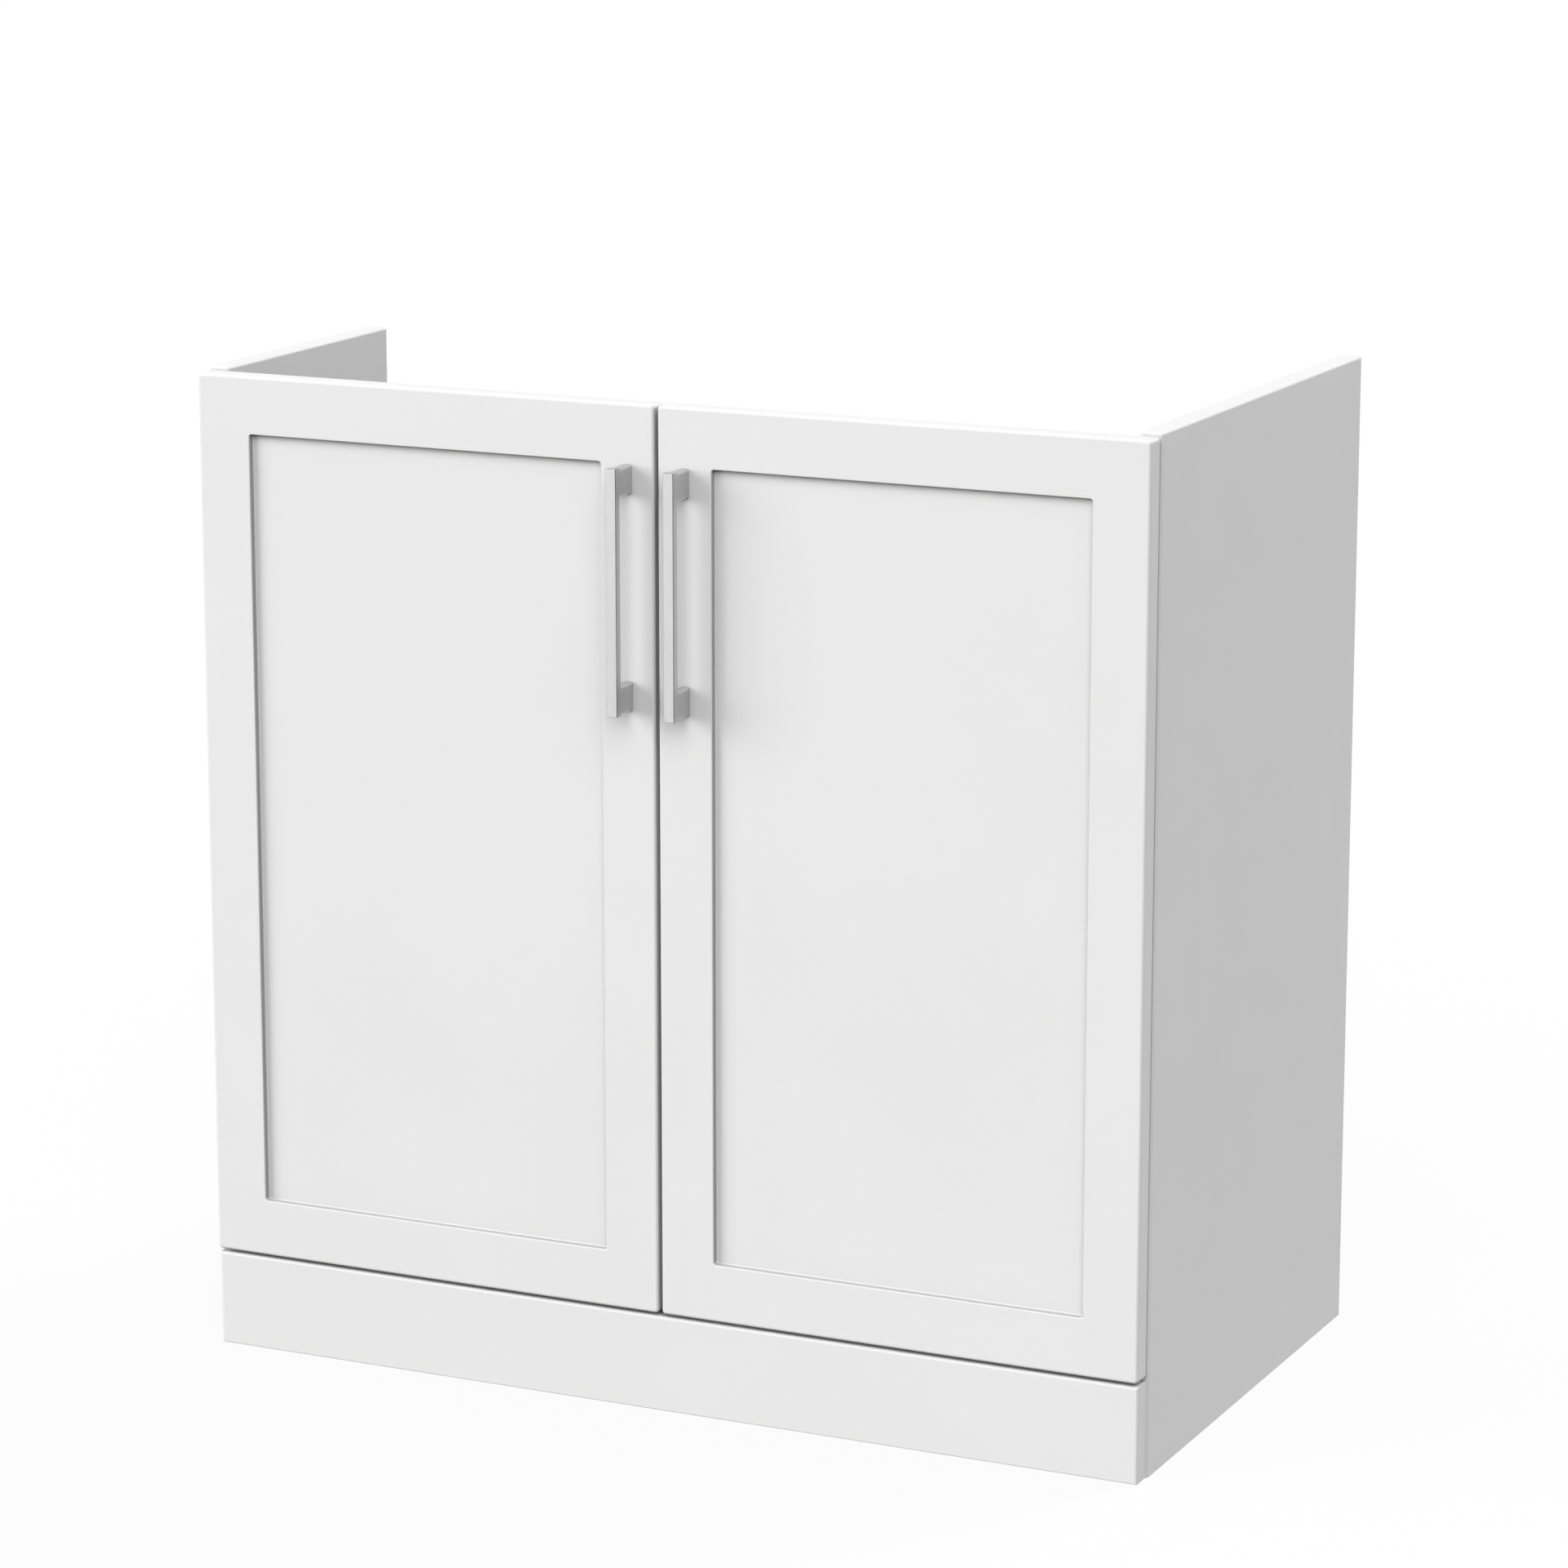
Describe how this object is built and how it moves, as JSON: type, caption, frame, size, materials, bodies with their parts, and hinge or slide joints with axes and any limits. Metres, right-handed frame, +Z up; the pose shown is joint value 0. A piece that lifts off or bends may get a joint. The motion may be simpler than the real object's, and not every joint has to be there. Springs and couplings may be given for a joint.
{
  "type": "sink base cabinet",
  "caption": "White sink base cabinet with an open top and open back, recessed-panel doors that swing on cup hinges, slim bar handles and a plinth board.",
  "frame": {"origin": "middle of the whole object's footprint, on the floor", "axes": "+X along the width, to the right seen from the doors; the doors face -Y; +Z up"},
  "size_m": [0.8, 0.481, 0.797],
  "materials": {
    "white_board": "white melamine face, satin",
    "white_door": "white foil over fibreboard, satin",
    "handle_metal": "satin, finely brushed along the bar",
    "hinge_steel": "nickel plated, satin",
    "bracket_steel": "zinc plated",
    "pin_steel": "bright steel",
    "screw_steel": "zinc plated",
    "cam_zinc": "die-cast zinc, as cast",
    "beech": "bare beech",
    "clear_bumper": "soft clear plastic"
  },
  "bodies": {
    "cabinet": {"back_rail_lower": "white_board", "back_rail_upper": "white_board", "bottom_panel": "white_board", "cam_bolts_bottom": "pin_steel", "cam_bolts_rail": "pin_steel", "cam_locks_bottom": "cam_zinc", "cam_locks_rail": "cam_zinc", "front_rail": "white_board", "hinge_arm_left_lower": "hinge_steel", "hinge_arm_left_upper": "hinge_steel", "hinge_arm_right_lower": "hinge_steel", "hinge_arm_right_upper": "hinge_steel", "hinge_arm_screws_left": "screw_steel", "hinge_arm_screws_right": "screw_steel", "hinge_pin_left_lower": "pin_steel", "hinge_pin_left_upper": "pin_steel", "hinge_pin_right_lower": "pin_steel", "hinge_pin_right_upper": "pin_steel", "hinge_plate_left_lower": "hinge_steel", "hinge_plate_left_upper": "hinge_steel", "hinge_plate_right_lower": "hinge_steel", "hinge_plate_right_upper": "hinge_steel", "hinge_plate_screws_left": "screw_steel", "hinge_plate_screws_right": "screw_steel", "plinth_board": "white_board", "plinth_bracket_left": "bracket_steel", "plinth_bracket_right": "bracket_steel", "plinth_bracket_screws": "screw_steel", "side_panel_left": "white_board", "side_panel_right": "white_board", "wood_dowels_bottom": "beech", "wood_dowels_rail": "beech"},
    "door_left": {"door_left": "white_door", "handle_left": "handle_metal", "handle_screws_left": "screw_steel", "door_bumpers_left": "clear_bumper", "hinge_cup_left_lower": "hinge_steel", "hinge_cup_left_upper": "hinge_steel", "hinge_cup_screws_left": "screw_steel"},
    "door_right": {"door_right": "white_door", "handle_right": "handle_metal", "handle_screws_right": "screw_steel", "door_bumpers_right": "clear_bumper", "hinge_cup_right_lower": "hinge_steel", "hinge_cup_right_upper": "hinge_steel", "hinge_cup_screws_right": "screw_steel"}
  },
  "joints": [
    {"name": "door_left_hinge", "type": "hinge", "parent": "cabinet", "child": "door_left", "pos_m": [-0.39161, -0.2035, 0.437], "axis": [0, 0, -1], "range_deg": [0, 95]},
    {"name": "door_right_hinge", "type": "hinge", "parent": "cabinet", "child": "door_right", "pos_m": [0.39161, -0.2035, 0.437], "axis": [0, 0, 1], "range_deg": [0, 95]}
  ]
}
